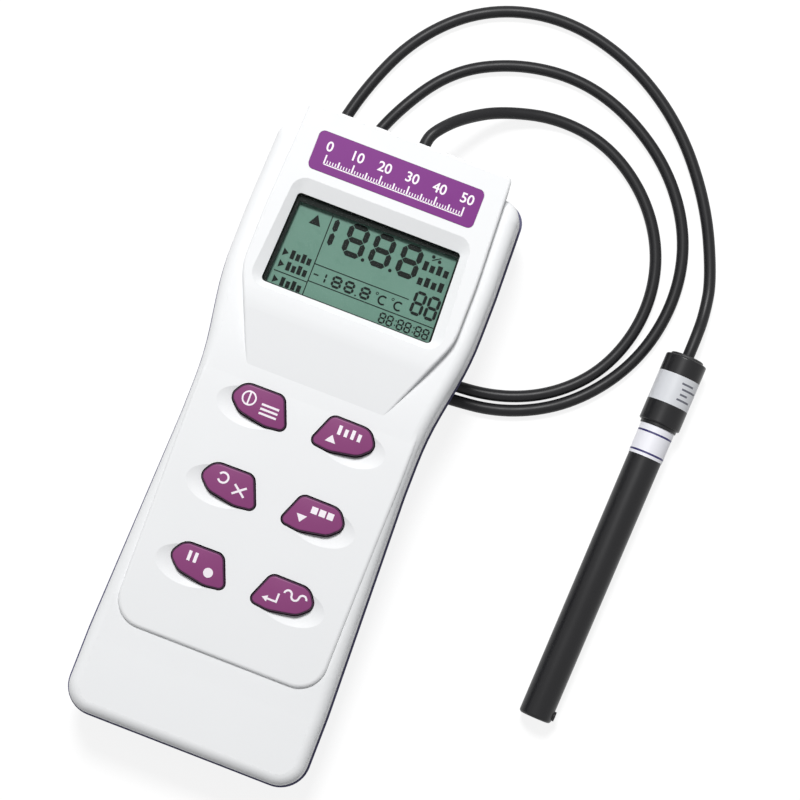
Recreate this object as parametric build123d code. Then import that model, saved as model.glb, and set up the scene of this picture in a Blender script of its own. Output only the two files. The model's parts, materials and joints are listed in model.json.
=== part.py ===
from build123d import *
import math
import os

os.makedirs("parts", exist_ok=True)

# Frame: X to the right of the display, Y towards the display end, Z up out of the face.
# The meter lies on its back, and Z = 0 is the flat of the raised battery bay that it rests on.

# Case, seen from above
CASE_LENGTH = 178.0
HEAD_WIDTH = 74.4
HEAD_TOP_WIDTH = 72.8
WAIST_WIDTH = 66.4
BASE_WIDTH = 70.6
SHOULDER_Y = 84.6
HEAD_CORNER_R = 6.0
BASE_CORNER_R = 8.5
WAIST_LOW_Y = -2.0
WAIST_HIGH_Y = 15.0
HEAD_LOW_Y = 39.0
HEAD_MID_Y = 58.0
BASE_TAPER_Y = -66.0
FLANK_R = 90.0

# Case, seen from the side
PART_Z = 17.0
WALL = 2.2
SHOULDER_Z = 31.7
RAIL_BEND_Z = 31.3
RAIL_END_Z = 25.4
RAIL_BEND_Y = 18.0
RAIL_LOW_Y = -62.0
FACE_BEND_R = 200.0
RIM_R = 3.2
FRONT_DRAFT = 1.1
REVEAL = 0.6
REAR_DRAFT = 1.2
HEAD_UNDER_Z = 7.0
REAR_RIM_R = 4.5

# Raised head plate that carries the display, and the raised panel of the grip
PLATE_Z = 34.0
PLATE_END_HALF = 29.5
PLATE_SIDE_HALF = 30.9
PLATE_RIM_R = 0.8
PLATE_CORNER_R = 1.6
CHIN_TIP_Y = 8.0
CHIN_FALL_Y = 33.0
PANEL_LIFT = 1.2
PANEL_HALF = 30.9
PANEL_END_HALF = 30.1
PANEL_END_Y = -61.5
PANEL_CORNER_R = 8.0
PANEL_RIM_R = 1.1

# End block that holds the cable gland and the output jack
END_BLOCK_Z = 9.5
END_BLOCK_R = 2.5

# Battery bay hump
HUMP_HALF = 31.4
HUMP_TOP_HALF = 29.6
HUMP_LOW_Y = -84.6
HUMP_HIGH_Y = 20.5
HUMP_CORNER_R = 9.0
HUMP_DRAFT = 0.9
HUMP_RIM_R = 2.4
FLOOR = 2.0

# Display opening
WINDOW_Y = 51.7
WINDOW_TOP_W = 47.4
WINDOW_LOW_W = 49.4
WINDOW_H = 26.2
WINDOW_R = 1.2
RECESS_TOP_Y = 69.0
RECESS_LOW_Y = 36.8
RECESS_TOP_W = 51.4
RECESS_LOW_W = 56.0
RECESS_R = 4.2
RECESS_LIP = 0.5

LENS_W = 53.4
LENS_H = 31.2
LENS_T = 1.1
LENS_R = 3.0

LCD_W = 51.6
LCD_H = 30.0
LCD_T = 2.2
LCD_DROP = 1.7
LCD_FRAME_WALL = 1.0
LCD_FRAME_LIP = 1.3
LCD_FRAME_TOP = 0.8
ZEBRA_T = 1.8
ZEBRA_L = 46.0
FIT = 0.15

LABEL_W = 48.0
LABEL_H = 11.0
LABEL_Y = 77.3
LABEL_R = 1.6
LABEL_T = 0.3
LABEL_PROUD = 0.1

# Main board
BOARD_TOP_Z = 22.0
BOARD_T = 1.6
BOARD_HALF = 27.0
BOARD_END_HALF = 25.0
BOARD_NECK_Y = 64.0
BOARD_HIGH_Y = 80.0
BOARD_LOW_Y = -52.0
POST_X = 24.0
POST_HIGH_Y = 26.5
POST_LOW_Y = -48.5
POST_R = 2.4
BOARD_SCREW_R = 0.9
BOARD_SCREW_HEAD_R = 1.8
BOARD_SCREW_HEAD_T = 1.3
BOARD_SCREW_L = 6.0

# Keys
KEY_X = 12.8
KEY_ROW_Y = 6.4
KEY_PITCH = 23.0
KEY_PROUD = 1.5
KEY_GAP = 0.35
KEY_RIM_R = 0.7
KEY_TRAVEL = 0.9
KEY_FOOT_T = 0.9
KEY_FOOT_EDGE = 0.7
MAT_T = 1.0
MAT_MARGIN = 2.2
PILL_R = 2.2
PILL_T = 0.4
DISH_DEPTH = 1.1
DISH_HALF_X = 9.4
DISH_HALF_Y = 5.4
DISH_SHIFT_X = 2.2
DISH_SHIFT_Y = -1.3

# Case screws
HEAD_SCREW_X = 29.0
HEAD_SCREW_Y = 72.0
BASE_SCREW_X = 27.0
BASE_SCREW_Y = -72.0
BOSS_R = 3.3
SCREW_R = 1.25
SCREW_HOLE_R = 1.4
SCREW_HEAD_R = 2.3
SCREW_HEAD_T = 1.8
SCREW_BITE = 7.0
COUNTERBORE_R = 2.6
HEAD_SCREW_SEAT_Z = 10.5
BASE_SCREW_SEAT_Z = 4.5

# Batteries, their bay and its door
CELL_R = 5.25
CELL_L = 44.5
CELL_PITCH = 11.0
CELL_NUB_R = 1.9
CELL_NUB_L = 0.8
BAY_HALF = 22.4
BAY_LOW_Y = -78.4
BAY_HIGH_Y = -24.6
BAY_WALL = 1.6
BAY_CEILING_Z = 14.2
DOOR_HALF = 22.0
DOOR_GAP = 0.25
DOOR_T = 1.8
DOOR_LIFT = 0.35
DOOR_HIGH_Y = -23.4
RAIL_W = 1.2
RAIL_T = 1.0
LATCH_W = 8.0
LATCH_L = 1.6
GRIP_RIBS = 5
GRIP_PITCH = 2.4
PLATE_T = 0.4
SPRING_WIRE_R = 0.3
SPRING_R = 2.8
SPRING_TURNS = 4

# Cable, gland and output jack
GLAND_X = 3.0
CABLE_R = 1.7
GLAND_NECK_R = 3.2
GLAND_FLANGE_R = 4.6
GLAND_FLANGE_T = 1.4
GLAND_NOSE_L = 2.2
GLAND_NOSE_R = 2.6
JACK_X = 20.7
JACK_Z = 25.4
JACK_R = 3.0
JACK_BORE_R = 1.8
JACK_BORE_L = 9.0
JACK_BODY_W = 8.4
JACK_BODY_L = 10.8

# Probe, lying on its cap and its tip
PROBE_X = 93.1
PROBE_Y = 62.9
PROBE_TURN = -2.3
CAP_R = 6.0
CAP_L = 20.0
CAP_SKIRT_R = 5.3
CAP_SKIRT_L = 1.0
CAP_LABEL_START = 5.3
CAP_LABEL_L = 8.6
CAP_LABEL_T = 0.15
GROMMET_R = 4.8
GROMMET_PROUD = 0.8
GROMMET_DEPTH = 3.0
BAND_L = 9.0
BAND_T = 0.15
SHAFT_R = 4.85
TIP_R = 4.7
TIP_ROUND = 0.9
PROBE_L = 109.0
SHAFT_IN_CAP = 9.0
CELL_BORE_R = 3.5
CELL_BORE_L = 16.0
LEAD_BORE_R = 2.6
RING_T = 0.5
RING_L = 3.0
RING_PLACES = (4.0, 10.5)
SENSOR_R = 1.2
SENSOR_L = 4.0
VENT_R = 1.0
VENT_PLACE = 2.4
VENT_LIP = 0.5


def case_outline(inset, z):
    """Plan of the case, a chain of flats and arcs, moved inwards by inset."""
    low = -CASE_LENGTH / 2 + inset
    high = SHOULDER_Y - inset
    base = BASE_WIDTH / 2 - inset
    waist = WAIST_WIDTH / 2 - inset
    head = HEAD_WIDTH / 2 - inset
    top = HEAD_TOP_WIDTH / 2 - inset
    side = [(base, low), (base, BASE_TAPER_Y), (waist, WAIST_LOW_Y), (waist, WAIST_HIGH_Y),
            (head, HEAD_LOW_Y), (head, HEAD_MID_Y), (top, high)]
    radii = [BASE_CORNER_R - inset, FLANK_R, FLANK_R, FLANK_R,
             FLANK_R, FLANK_R, HEAD_CORNER_R - inset / 2]
    return mirrored_face(side, radii, z)


def mirrored_face(side, radii, z):
    """Closed face from the points of its right side and the radius at each of them."""
    left = [(-x, y) for x, y in reversed(side)]
    edge = FilletPolyline(*(side + left), radius=radii + radii[::-1], close=True)
    return Pos(0, 0, z) * make_face(edge)


def below_line(points, radii, half_width=60.0, floor=-20.0):
    """Everything under a line drawn in the side view, as a slab across the case."""
    top = FilletPolyline(*points, radius=radii)
    start, end = points[0], points[-1]
    rest = Polyline(end, (end[0], floor), (start[0], floor), start)
    return extrude(Plane.YZ * make_face(top + rest), half_width, both=True)


def rim_edges(solid):
    """Edges where a wall of the solid meets its top."""
    def lift(face):
        return face.normal_at(face.center()).Z
    walls = [e for f in solid.faces() if abs(lift(f)) < 0.5 for e in f.edges()]
    tops = [e for f in solid.faces() if lift(f) >= 0.5 for e in f.edges()]
    return [e for e in tops if any(e.is_same(w) for w in walls)]


def lowest_edges(solid):
    return solid.edges().group_by(Axis.Z)[0]


def slab(size_x, size_y, low_z, high_z, x=0.0, y=0.0):
    """Box given by its plan size and centre, and by its two heights."""
    height = high_z - low_z
    return Pos(x, y, low_z) * Box(size_x, size_y, height, align=(Align.CENTER, Align.CENTER, Align.MIN))


def rod(radius, low_z, high_z, x=0.0, y=0.0):
    """Upright cylinder."""
    align = (Align.CENTER, Align.CENTER, Align.MIN)
    return Pos(x, y, low_z) * Cylinder(radius, high_z - low_z, align=align)


def y_rod(radius, low_y, high_y, x=0.0, z=0.0):
    """Cylinder that lies along Y."""
    length = high_y - low_y
    return Pos(x, (low_y + high_y) / 2, z) * (Rot(90, 0, 0) * Cylinder(radius, length))


def rounded_slab(size_x, size_y, low_z, high_z, radius, y=0.0):
    plan = Pos(0, y, low_z) * RectangleRounded(size_x, size_y, radius)
    return extrude(plan, high_z - low_z)


def one(shape):
    """The single solid of a result, or a group of them where there are more."""
    solids = shape.solids()
    return solids[0] if len(solids) == 1 else Compound(children=list(solids))


def save(name, shape):
    result = one(shape)
    result.label = name
    export_step(result, "parts/" + name + ".step")


# Front case

CASE_TOP_Z = PLATE_Z + 2.0


def shoulder_line(drop):
    """Height of the shoulders, rails and base block along the case."""
    slope = (RAIL_BEND_Z - RAIL_END_Z) / (RAIL_BEND_Y - RAIL_LOW_Y)
    points = [(CASE_LENGTH, SHOULDER_Z - drop), (RAIL_BEND_Y, RAIL_BEND_Z - drop),
              (RAIL_LOW_Y, RAIL_END_Z - drop), (-CASE_LENGTH, RAIL_END_Z - drop - slope * 10)]
    return below_line(points, [FACE_BEND_R, FACE_BEND_R])


def panel_slope():
    return (RAIL_BEND_Z - RAIL_END_Z - PANEL_LIFT) / (RAIL_BEND_Y - RAIL_LOW_Y)


def panel_height(y):
    """Height of the raised panel of the grip, which carries the keys."""
    return RAIL_END_Z + PANEL_LIFT + panel_slope() * (y - RAIL_LOW_Y)


def panel_line(drop):
    """The panel sinks into the case above its bend."""
    bend = RAIL_BEND_Y - 2.0
    low = -CASE_LENGTH / 2
    points = [(HEAD_MID_Y, panel_height(bend) - 2.0 - drop), (bend, panel_height(bend) - drop),
              (low, panel_height(low) - drop)]
    return below_line(points, [FACE_BEND_R])


def plate_line(drop):
    """Flat over the display, then falling into the grip at the chin."""
    tip_z = panel_height(CHIN_TIP_Y) - 1.0
    points = [(CASE_LENGTH, PLATE_Z - drop), (CHIN_FALL_Y, PLATE_Z - drop),
              (CHIN_TIP_Y, tip_z - drop), (-CASE_LENGTH / 2, tip_z - 12.0 - drop)]
    return below_line(points, [30.0, 30.0])


def plate_plan(inset, z):
    end = CASE_LENGTH / 2 - inset
    side = [(PLATE_END_HALF - inset, end), (PLATE_SIDE_HALF - inset, HEAD_MID_Y),
            (PLATE_SIDE_HALF - inset, HEAD_LOW_Y + 2.0), (PLATE_SIDE_HALF * 0.74 - inset, 22.0),
            (PLATE_SIDE_HALF * 0.55 - inset, CHIN_TIP_Y + inset)]
    radii = [PLATE_CORNER_R, FLANK_R, 16.0, 20.0, 3.0]
    return mirrored_face(side, radii, z)


def panel_plan(inset, z):
    side = [(PANEL_HALF - inset, HEAD_LOW_Y), (PANEL_HALF - inset, 0.0),
            (PANEL_END_HALF - inset, PANEL_END_Y + inset)]
    return mirrored_face(side, [0.0, FLANK_R, PANEL_CORNER_R - inset], z)


def front_form(drop):
    """Outer form of the front case for drop = 0, or its hollow for drop = WALL."""
    low_z = PART_Z if drop == 0 else PART_Z - 1.0
    foot = case_outline(REVEAL + drop, low_z)
    crown = case_outline(REVEAL + FRONT_DRAFT + drop, CASE_TOP_Z)
    body = loft([foot, crown], ruled=True) & shoulder_line(drop)
    panel = extrude(panel_plan(drop, low_z + 2.0), CASE_TOP_Z - low_z) & panel_line(drop)
    plate = extrude(plate_plan(drop, low_z), CASE_TOP_Z - low_z) & plate_line(drop)
    if drop == 0:
        body = fillet(rim_edges(body), RIM_R)
        panel = fillet(rim_edges(panel), PANEL_RIM_R)
        plate = fillet(rim_edges(plate), PLATE_RIM_R)
    return body + panel + plate


def window_plan(z):
    low, high = WINDOW_Y - WINDOW_H / 2, WINDOW_Y + WINDOW_H / 2
    return mirrored_face([(WINDOW_LOW_W / 2, low), (WINDOW_TOP_W / 2, high)], [WINDOW_R] * 2, z)


def recess_plan(z):
    side = [(RECESS_LOW_W / 2, RECESS_LOW_Y), (RECESS_TOP_W / 2, RECESS_TOP_Y)]
    return mirrored_face(side, [RECESS_R] * 2, z)


def key_plan(side, margin):
    """Leaf shape of a key about its centre, wider at its inner end; side is -1 for the left."""
    points = [(-9.5, -4.1), (-5.8, 4.9), (5.4, 4.8), (8.3, 0.2), (4.6, -3.3), (-3.5, -4.8)]
    radii = [1.6, 2.4, 4.0, 2.4, 5.0, 8.0]
    leaf = make_face(FilletPolyline(*[(side * x, y) for x, y in points], radius=radii, close=True))
    return offset(leaf, margin) if margin else leaf


KEY_NAMES = ("power", "up", "escape", "down", "hold", "enter")
KEY_PLACES = {name: (1 if i % 2 else -1, KEY_ROW_Y - KEY_PITCH * (i // 2))
              for i, name in enumerate(KEY_NAMES)}
FACE_TILT = math.degrees(math.atan(panel_slope()))
KEY_FOOT_Z = BOARD_TOP_Z + MAT_T + PILL_T


def on_face(side, row_y, lift=0.0, dx=0.0, dy=0.0):
    """Place on the grip panel at a key, with Z square to the sloping panel."""
    x, y = side * (KEY_X + dx), row_y + dy
    return Pos(x, y, panel_height(y)) * Rot(FACE_TILT, 0, 0) * Pos(0, 0, lift)


def key_column(side, row_y, margin, low_z, high_z):
    """Upright prism with the plan of a key."""
    plan = Pos(side * KEY_X, row_y, low_z) * key_plan(side, margin)
    return extrude(plan, high_z - low_z)


def dish(side, row_y):
    """Scoop around the outer end of a key, where the fingertip lands."""
    ball_r = (DISH_HALF_Y ** 2 + DISH_DEPTH ** 2) / (2 * DISH_DEPTH)
    ball = scale(Sphere(ball_r), by=(DISH_HALF_X / DISH_HALF_Y, 1, 1))
    place = on_face(side, row_y, ball_r - DISH_DEPTH, DISH_SHIFT_X, DISH_SHIFT_Y)
    return place * ball


SCREW_PLACES = [(side * x, y, seat) for x, y, seat in
                ((HEAD_SCREW_X, HEAD_SCREW_Y, HEAD_SCREW_SEAT_Z),
                 (BASE_SCREW_X, BASE_SCREW_Y, BASE_SCREW_SEAT_Z)) for side in (-1, 1)]
POST_PLACES = [(side * POST_X, y) for y in (POST_HIGH_Y, POST_LOW_Y) for side in (-1, 1)]
END_Y = CASE_LENGTH / 2
INNER_END_Y = END_Y - WALL
END_SLOTS = ((16.5, 1.4), (20.5, 5.0), (24.6, 1.9))
END_SLOT_DEPTH = 0.4
END_SLOT_LOW_Z = 21.0
LIP_H = 1.4
LIP_T = 1.0
LIP_GAP = 0.1


def lip_ring(outer, height):
    """Upstand just inside the joint of the two halves."""
    low, high = outer, WALL
    ring = case_outline(REVEAL + low, PART_Z) + plate_plan(low, PART_Z)
    ring = ring - case_outline(REVEAL + high, PART_Z) - plate_plan(high, PART_Z)
    return extrude(ring, height)


def gland_hole():
    return y_rod(GLAND_NECK_R + 0.05, INNER_END_Y - 1, END_Y + 1, GLAND_X, PART_Z)


def make_front_case():
    outer = front_form(0)
    case = outer - front_form(WALL) - lip_ring(WALL - LIP_T - LIP_GAP, LIP_H + LIP_GAP)
    bosses = [rod(BOSS_R, PART_Z, CASE_TOP_Z, x, y) for x, y, seat in SCREW_PLACES]
    posts = [rod(POST_R, BOARD_TOP_Z, CASE_TOP_Z, x, y) for x, y in POST_PLACES]
    for column in bosses + posts:
        case += column & outer
    for x, y, seat in SCREW_PLACES:
        case -= rod(SCREW_R + 0.05, PART_Z - 1, PART_Z + SCREW_BITE + 0.5, x, y)
    for x, y in POST_PLACES:
        case -= rod(BOARD_SCREW_R + 0.05, BOARD_TOP_Z - 1, BOARD_TOP_Z + BOARD_SCREW_L - 1, x, y)
    seat_z = PLATE_Z - WALL + RECESS_LIP
    case -= loft([recess_plan(PLATE_Z), window_plan(seat_z)], ruled=True)
    case -= extrude(window_plan(PLATE_Z - WALL - 1), WALL)
    case -= rounded_slab(LABEL_W + 0.2, LABEL_H + 0.2, PLATE_Z - LABEL_T + LABEL_PROUD,
                         PLATE_Z + 1, LABEL_R + 0.1, LABEL_Y)
    for side, row_y in KEY_PLACES.values():
        case -= dish(side, row_y)
        case -= key_column(side, row_y, KEY_GAP, KEY_FOOT_Z + 1.2, PLATE_Z)
    case -= gland_hole()
    case -= y_rod(JACK_R + 0.05, INNER_END_Y - 1, END_Y + 1, JACK_X, JACK_Z)
    for x, width in END_SLOTS:
        case -= slab(width, 2 * END_SLOT_DEPTH, END_SLOT_LOW_Z, CASE_TOP_Z, x, END_Y)
    return case


def hump_plan(inset, z):
    """Plan of the raised battery bay on the back."""
    side = [(HUMP_HALF - inset, HUMP_LOW_Y + inset), (HUMP_TOP_HALF - inset, HUMP_HIGH_Y - inset)]
    return mirrored_face(side, [HUMP_CORNER_R - inset] * 2, z)


def rear_form(drop):
    """Outer form of the rear case for drop = 0, or its hollow for drop = WALL."""
    top = PART_Z if drop == 0 else PART_Z + 1.0
    low = HEAD_UNDER_Z + drop
    body = loft([case_outline(REAR_DRAFT + drop, low), case_outline(drop, top)], ruled=True)
    body = fillet(lowest_edges(body), REAR_RIM_R - drop)
    block = extrude(plate_plan(drop, END_BLOCK_Z + drop), top - END_BLOCK_Z - drop)
    block = fillet(lowest_edges(block), END_BLOCK_R - drop * 0.9)
    ground = 0.0 if drop == 0 else FLOOR
    hump_top = low + 1.0
    hump = loft([hump_plan(HUMP_DRAFT + drop, ground), hump_plan(drop, hump_top)], ruled=True)
    if drop == 0:
        hump = fillet(lowest_edges(hump), HUMP_RIM_R)
    return body + block + hump


def door_cut(margin, low_z, high_z):
    """Region of the door's plate, open at the base end of the hump."""
    width = 2 * (DOOR_HALF + margin)
    length = DOOR_HIGH_Y + margin + CASE_LENGTH / 2 + 2
    return slab(width, length, low_z, high_z, 0, DOOR_HIGH_Y + margin - length / 2)


RAIL_LOW_Z = DOOR_LIFT + DOOR_T - RAIL_T
DOOR_TOP_Z = DOOR_LIFT + DOOR_T
BAY_LENGTH = BAY_HIGH_Y - BAY_LOW_Y
BAY_MID_Y = (BAY_HIGH_Y + BAY_LOW_Y) / 2


def make_rear_case():
    outer = rear_form(0)
    case = outer - rear_form(WALL)
    case += lip_ring(WALL - LIP_T, LIP_H)
    for x, y, seat in SCREW_PLACES:
        case += rod(BOSS_R, 0, PART_Z, x, y) & outer
    bay_width = 2 * (BAY_HALF + BAY_WALL)
    bay_length = BAY_LENGTH + 2 * BAY_WALL
    case += slab(bay_width, bay_length, FLOOR / 2, BAY_CEILING_Z + BAY_WALL, 0, BAY_MID_Y)
    case -= slab(2 * BAY_HALF, BAY_LENGTH, DOOR_TOP_Z, BAY_CEILING_Z, 0, BAY_MID_Y)
    for x, y, seat in SCREW_PLACES:
        case -= rod(SCREW_HOLE_R, -1, PART_Z + 1, x, y)
        case -= rod(COUNTERBORE_R, -1, seat, x, y)
    case -= door_cut(DOOR_GAP, -1, DOOR_TOP_Z + DOOR_GAP)
    rail_cut = door_cut(RAIL_W + DOOR_GAP, RAIL_LOW_Z - DOOR_GAP, DOOR_TOP_Z + DOOR_GAP)
    case -= Pos(0, -RAIL_W, 0) * rail_cut
    case -= slab(LATCH_W + 0.6, 2 * LATCH_L + 0.6, RAIL_LOW_Z - DOOR_GAP, DOOR_TOP_Z + DOOR_GAP,
                 0, DOOR_HIGH_Y)
    case -= gland_hole()
    return case


def make_battery_door():
    door = door_cut(0, DOOR_LIFT, DOOR_TOP_Z) & extrude(hump_plan(HUMP_DRAFT, -1), 10)
    rail_length = DOOR_HIGH_Y - BAY_LOW_Y
    for side in (-1, 1):
        door += slab(2 * RAIL_W, rail_length, RAIL_LOW_Z, DOOR_TOP_Z, side * DOOR_HALF,
                     (DOOR_HIGH_Y + BAY_LOW_Y) / 2 - 1)
    door += slab(LATCH_W, 2 * LATCH_L, RAIL_LOW_Z, DOOR_TOP_Z, 0, DOOR_HIGH_Y)
    for i in range(GRIP_RIBS):
        y = BAY_LOW_Y + 5 + GRIP_PITCH * i
        groove = Rot(0, 90, 0) * Cylinder(0.8, DOOR_HALF)
        door -= Pos(0, y, DOOR_LIFT - 0.3) * groove
    return door


# Display

LENS_LOW_Z = PLATE_Z - WALL - LENS_T
LCD_HIGH_Z = LENS_LOW_Z - LCD_DROP
LCD_LOW_Z = LCD_HIGH_Z - LCD_T


def make_lcd_frame():
    """Open frame between board and window that locates the glass and its rubber strips."""
    margin = 2 * (FIT + LCD_FRAME_WALL)
    frame = rounded_slab(LCD_W + margin, LCD_H + margin, BOARD_TOP_Z, LENS_LOW_Z - 0.05,
                         LENS_R, WINDOW_Y)
    frame -= slab(LCD_W + 2 * FIT, LCD_H + 2 * FIT, BOARD_TOP_Z, LCD_HIGH_Z + 0.05, 0, WINDOW_Y)
    lip = 2 * LCD_FRAME_TOP
    return frame - slab(LCD_W - lip, LCD_H - lip, BOARD_TOP_Z, PLATE_Z, 0, WINDOW_Y)


def make_zebra_strips():
    offset_y = LCD_H / 2 - ZEBRA_T / 2 - 0.2
    return [slab(ZEBRA_L, ZEBRA_T, BOARD_TOP_Z, LCD_LOW_Z, 0, WINDOW_Y + side * offset_y)
            for side in (-1, 1)]


# Board

BOARD_LOW_Z = BOARD_TOP_Z - BOARD_T


def make_main_board():
    side = [(BOARD_HALF, BOARD_LOW_Y), (BOARD_HALF, BOARD_NECK_Y),
            (BOARD_END_HALF, BOARD_NECK_Y + 2), (BOARD_END_HALF, BOARD_HIGH_Y)]
    board = extrude(mirrored_face(side, [1.0, 0.5, 0.5, 1.0], BOARD_LOW_Z), BOARD_T)
    for x, y in POST_PLACES:
        board -= rod(BOARD_SCREW_R + 0.2, BOARD_LOW_Z - 1, BOARD_TOP_Z + 1, x, y)
    return board


def make_board_chips():
    """Packages on the back of the board, largest first."""
    chips = [slab(14, 14, BOARD_LOW_Z - 1.8, BOARD_LOW_Z, 0, 46)]
    chips += [slab(6, 5, BOARD_LOW_Z - 1.5, BOARD_LOW_Z, x, 18) for x in (-12, 0, 12)]
    chips += [rod(2.6, BOARD_LOW_Z - 6, BOARD_LOW_Z, x, 62) for x in (-16, 16)]
    chips += [slab(11, 4.5, BOARD_LOW_Z - 3.4, BOARD_LOW_Z, -16, 34)]
    return chips


def headed_screw(x, y, head_low_z, head_r, head_t, shank_r, length):
    """Pan head screw that points up, with a cross slot in its head."""
    screw = rod(head_r, head_low_z, head_low_z + head_t, x, y)
    screw = fillet(lowest_edges(screw), head_t * 0.4)
    screw += rod(shank_r, head_low_z + head_t, head_low_z + head_t + length, x, y)
    for turn in (0, 90):
        bar = Box(head_r * 1.3, head_r * 0.3, head_t)
        screw -= Pos(x, y, head_low_z) * (Rot(0, 0, turn) * bar)
    return screw


def make_case_screws():
    return [headed_screw(x, y, seat - SCREW_HEAD_T, SCREW_HEAD_R, SCREW_HEAD_T, SCREW_R,
                         PART_Z + SCREW_BITE - seat) for x, y, seat in SCREW_PLACES]


def make_board_screws():
    head_z = BOARD_LOW_Z - BOARD_SCREW_HEAD_T
    return [headed_screw(x, y, head_z, BOARD_SCREW_HEAD_R, BOARD_SCREW_HEAD_T, BOARD_SCREW_R,
                         BOARD_SCREW_L) for x, y in POST_PLACES]


# Keys

KEY_DOME_R = 46.0
MAT_COLLAR_T = 0.9


def make_key_cap(side, row_y):
    """Key with a foot under the case and a domed top that stands proud of it."""
    dome = on_face(side, row_y, KEY_PROUD - KEY_DOME_R) * Sphere(KEY_DOME_R)
    stem = key_column(side, row_y, 0, KEY_FOOT_Z, CASE_TOP_Z) & dome
    stem = fillet(rim_edges(stem), KEY_RIM_R)
    return stem + key_column(side, row_y, KEY_FOOT_EDGE, KEY_FOOT_Z, KEY_FOOT_Z + KEY_FOOT_T)


def make_key_pill(side, row_y):
    return rod(PILL_R, KEY_FOOT_Z - PILL_T, KEY_FOOT_Z, side * KEY_X, row_y)


def make_keypad_mat():
    rows = 2 * KEY_PITCH
    half = KEY_X + 9.5
    mid_y = KEY_ROW_Y - KEY_PITCH
    mat = rounded_slab(2 * half, rows + 14, BOARD_TOP_Z, BOARD_TOP_Z + MAT_T, 2.0, mid_y)
    clear = KEY_FOOT_EDGE + 0.3
    for side, row_y in KEY_PLACES.values():
        mat += key_column(side, row_y, clear + 0.8, BOARD_TOP_Z, BOARD_TOP_Z + MAT_T + MAT_COLLAR_T)
    for side, row_y in KEY_PLACES.values():
        mat -= key_column(side, row_y, clear, BOARD_TOP_Z - 1, PLATE_Z)
    return mat


# Batteries

CELL_Z = DOOR_TOP_Z + 0.35 + CELL_R
CELL_XS = [CELL_PITCH * (i - 1.5) for i in range(4)]
SPRING_L = BAY_LENGTH - 2 * PLATE_T - CELL_L - 0.2


def make_cell(i):
    """Dry cell with its raised end turned to alternate ends of the bay."""
    nub_y = BAY_HIGH_Y - PLATE_T - 0.1
    barrel = y_rod(CELL_R, nub_y - CELL_L, nub_y - CELL_NUB_L, CELL_XS[i], CELL_Z)
    barrel = fillet(barrel.edges().filter_by(GeomType.CIRCLE), 0.4)
    cell = barrel + y_rod(CELL_NUB_R, nub_y - CELL_NUB_L, nub_y, CELL_XS[i], CELL_Z)
    return cell if i % 2 else mirrored_ends(cell)


def mirrored_ends(shape):
    return mirror(shape, Plane.XZ.offset(-BAY_MID_Y))


def make_battery_springs():
    """Coil springs that press on the flat end of each cell."""
    low_y = BAY_LOW_Y + PLATE_T
    height = SPRING_L - 2 * SPRING_WIRE_R
    helix = Helix(height / SPRING_TURNS, height, SPRING_R, cone_angle=8)
    wire = Plane(origin=helix @ 0, z_dir=helix % 0) * Circle(SPRING_WIRE_R)
    coil = sweep(wire, path=helix, is_frenet=True)
    springs = []
    for i, x in enumerate(CELL_XS):
        spring = Pos(x, low_y + SPRING_WIRE_R, CELL_Z) * (Rot(-90, 0, 0) * coil)
        springs.append(spring if i % 2 else mirrored_ends(spring))
    return springs


def make_battery_plates():
    """Contact plates that join the four cells end to end."""
    low_z, high_z = DOOR_TOP_Z + 0.6, BAY_CEILING_Z - 0.4
    wide, single = 2 * CELL_PITCH - 1.0, CELL_PITCH - 1.0
    plates = [slab(wide, PLATE_T, low_z, high_z, side * CELL_PITCH, BAY_LOW_Y + PLATE_T / 2)
              for side in (-1, 1)]
    far_y = BAY_HIGH_Y - PLATE_T / 2
    plates.append(slab(wide, PLATE_T, low_z, high_z, 0, far_y))
    return plates + [slab(single, PLATE_T, low_z, high_z, x, far_y)
                     for x in (CELL_XS[0], CELL_XS[3])]


# Gland, jack and the wiring behind them

def turned(points, radii):
    """Solid of revolution about Y, from (radius, y) points."""
    return revolve(make_face(FilletPolyline(*points, radius=radii, close=True)), Axis.Y, 360)


def make_cable_gland():
    flange_y = INNER_END_Y - GLAND_FLANGE_T
    nose_y = END_Y + GLAND_NOSE_L
    points = [(0, flange_y), (GLAND_FLANGE_R, flange_y), (GLAND_FLANGE_R, INNER_END_Y),
              (GLAND_NECK_R, INNER_END_Y), (GLAND_NECK_R, END_Y), (GLAND_NOSE_R, nose_y), (0, nose_y)]
    return Pos(GLAND_X, 0, PART_Z) * turned(points, [0, 0.3, 0, 0, 0.2, 0.5, 0])


HEADER_Y = BOARD_HIGH_Y - 3.0


def make_cable_header():
    return slab(9.0, 5.0, PART_Z - 2.5, BOARD_LOW_Z, GLAND_X, HEADER_Y)


def make_inner_lead():
    return y_rod(CABLE_R, HEADER_Y + 2.5, INNER_END_Y - GLAND_FLANGE_T, GLAND_X, PART_Z)


def make_output_jack():
    face_y = END_Y + 0.2
    jack = slab(JACK_BODY_W, JACK_BODY_L, BOARD_TOP_Z, JACK_Z + JACK_R + 0.4, JACK_X,
                INNER_END_Y - JACK_BODY_L / 2)
    jack += y_rod(JACK_R, INNER_END_Y - 1, face_y, JACK_X, JACK_Z)
    return jack - y_rod(JACK_BORE_R, face_y - JACK_BORE_L, face_y + 1, JACK_X, JACK_Z)


# Probe, turned about its own axis from the top of the cap (y = 0) down to the tip

PROBE_TILT = math.degrees(math.atan((CAP_R - TIP_R) / (PROBE_L - TIP_ROUND - CAP_L)))
PROBE_Z = (0.02 + CAP_L * math.sin(math.radians(PROBE_TILT))
           + CAP_R * math.cos(math.radians(PROBE_TILT)))
BAND_HIGH_Y = -CAP_L - CAP_SKIRT_L
CELL_HIGH_Y = -PROBE_L + CELL_BORE_L
SHAFT_HIGH_Y = -CAP_L + SHAFT_IN_CAP
PLUG_T = 2.0
LEAD_R = 0.5


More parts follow.
